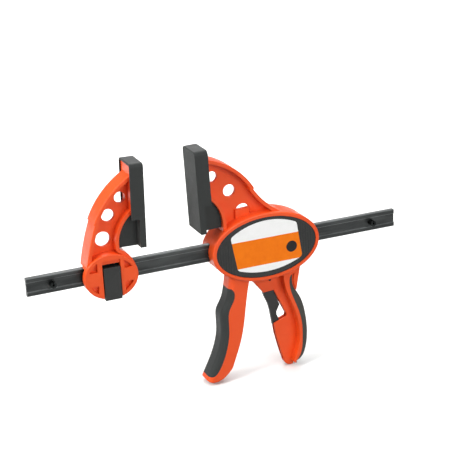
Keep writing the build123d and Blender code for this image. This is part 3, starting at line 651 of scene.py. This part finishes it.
def ink_spot(node, name, side):
    """A plain round spot of thick black ink on the band."""
    low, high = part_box(node)
    film_y = low[1] if side < 0 else high[1]
    bm = bmesh.new()
    ring = bmesh.ops.create_circle(bm, cap_ends=True, segments=64, radius=SPOT_RADIUS)["verts"]
    bmesh.ops.rotate(bm, verts=ring, cent=(0, 0, 0), matrix=Matrix.Rotation(math.pi / 2, 3, "X"))
    bmesh.ops.translate(bm, verts=ring, vec=(SPOT_PLACE[0], film_y - side * SPOT_ROOT, SPOT_PLACE[1]))
    top = bmesh.ops.extrude_face_region(bm, geom=bm.faces[:])["geom"]
    raised = [item for item in top if isinstance(item, bmesh.types.BMVert)]
    bmesh.ops.translate(bm, verts=raised, vec=(0.0, side * SPOT_THICKNESS, 0.0))
    bmesh.ops.recalc_face_normals(bm, faces=bm.faces)
    rim = [e for e in bm.edges if all((v.co.y - film_y) * side > 0.0 for v in e.verts)]
    bevel_edges(bm, rim, SPOT_ROUNDING)
    return finish_piece(bm, name, "handle", [LABEL_BLACK], [])


printed_label("front_label", "front_label_film")
printed_label("rear_label", "rear_label_film")
ink_spot("front_label", "front_label_spot", -1)
ink_spot("rear_label", "rear_label_spot", 1)


# ---------------------------------------------------------------- studio
FLOOR_HALF = 6.0
FLOOR_Z = cad_box[0][2] - mm(0.5)
BACKDROP_RADIUS = 2.6
ROOM_BRIGHTNESS = 0.22
MIDDLE = (mm(30.0), 0.0, mm(-50.0))


def add_floor():
    """Pale seamless paper under the clamp. It throws no light back up, so that undersides stay deep."""
    bm = bmesh.new()
    bmesh.ops.create_grid(bm, x_segments=1, y_segments=1, size=FLOOR_HALF)
    bmesh.ops.translate(bm, verts=bm.verts, vec=(0.0, 0.0, FLOOR_Z))
    paper, _, _ = new_finish(
        "white_studio_paper",
        {"Base Color": colour("#EEEEED"), "Roughness": 0.9, "Specular IOR Level": 0.1},
    )
    floor = linked_object(bm, "studio_floor", [paper])
    floor.visible_diffuse = False


def add_backdrop():
    """An evenly lit white dome behind everything. It is only seen, and adds no light of its own."""
    bm = bmesh.new()
    bmesh.ops.create_uvsphere(bm, u_segments=64, v_segments=32, radius=BACKDROP_RADIUS)
    lower_half = [v for v in bm.verts if v.co.z < -mm(1.0)]
    bmesh.ops.delete(bm, geom=lower_half, context="VERTS")
    bmesh.ops.reverse_faces(bm, faces=bm.faces)
    bmesh.ops.translate(bm, verts=bm.verts, vec=(0.0, 0.0, FLOOR_Z))
    cloth, _, _ = new_finish(
        "lit_backdrop_cloth",
        {
            "Base Color": colour("#000000"), "Specular IOR Level": 0.0,
            "Emission Color": colour("#FBFBFB"), "Emission Strength": 1.0,
        },
    )
    backdrop = linked_object(bm, "studio_backdrop", [cloth])
    backdrop.visible_diffuse = backdrop.visible_glossy = backdrop.visible_shadow = False


def add_softbox(name, place, aim, size, power, spread=180.0):
    """A rectangular lamp. Its size is in metres, its power in watts and its spread in degrees."""
    data = bpy.data.lights.new(name, "AREA")
    data.shape = "RECTANGLE"
    data.size, data.size_y = size
    data.energy = power
    data.spread = math.radians(spread)
    light = bpy.data.objects.new(name, data)
    light.location = place
    light.rotation_euler = (Vector(aim) - Vector(place)).to_track_quat("-Z", "Y").to_euler()
    scene.collection.objects.link(light)


def add_room(brightness):
    world = bpy.data.worlds.new("studio_room")
    world.use_nodes = True
    background = world.node_tree.nodes["Background"]
    background.inputs["Color"].default_value = (1.0, 1.0, 1.0, 1.0)
    background.inputs["Strength"].default_value = brightness
    scene.world = world


add_floor()
add_backdrop()
add_room(ROOM_BRIGHTNESS)
add_softbox("overhead_softbox", (0.0, 0.2, 2.6), (0.0, 0.2, 0.0), (4.0, 4.0), 78.0)
add_softbox("left_softbox", (-1.9, -0.3, 1.4), MIDDLE, (1.2, 1.2), 60.0)
add_softbox("front_softbox", (0.5, -2.5, 0.9), MIDDLE, (2.0, 1.4), 42.0)
add_softbox("rear_softbox", (0.9, 2.0, 1.8), MIDDLE, (1.4, 1.4), 32.0)
add_softbox("backdrop_softbox", (0.9, 3.0, 1.5), (0.9, 3.0, 0.0), (4.4, 3.6), 110.0, 90.0)
scene.view_settings.view_transform = "Standard"
scene.view_settings.look = "None"
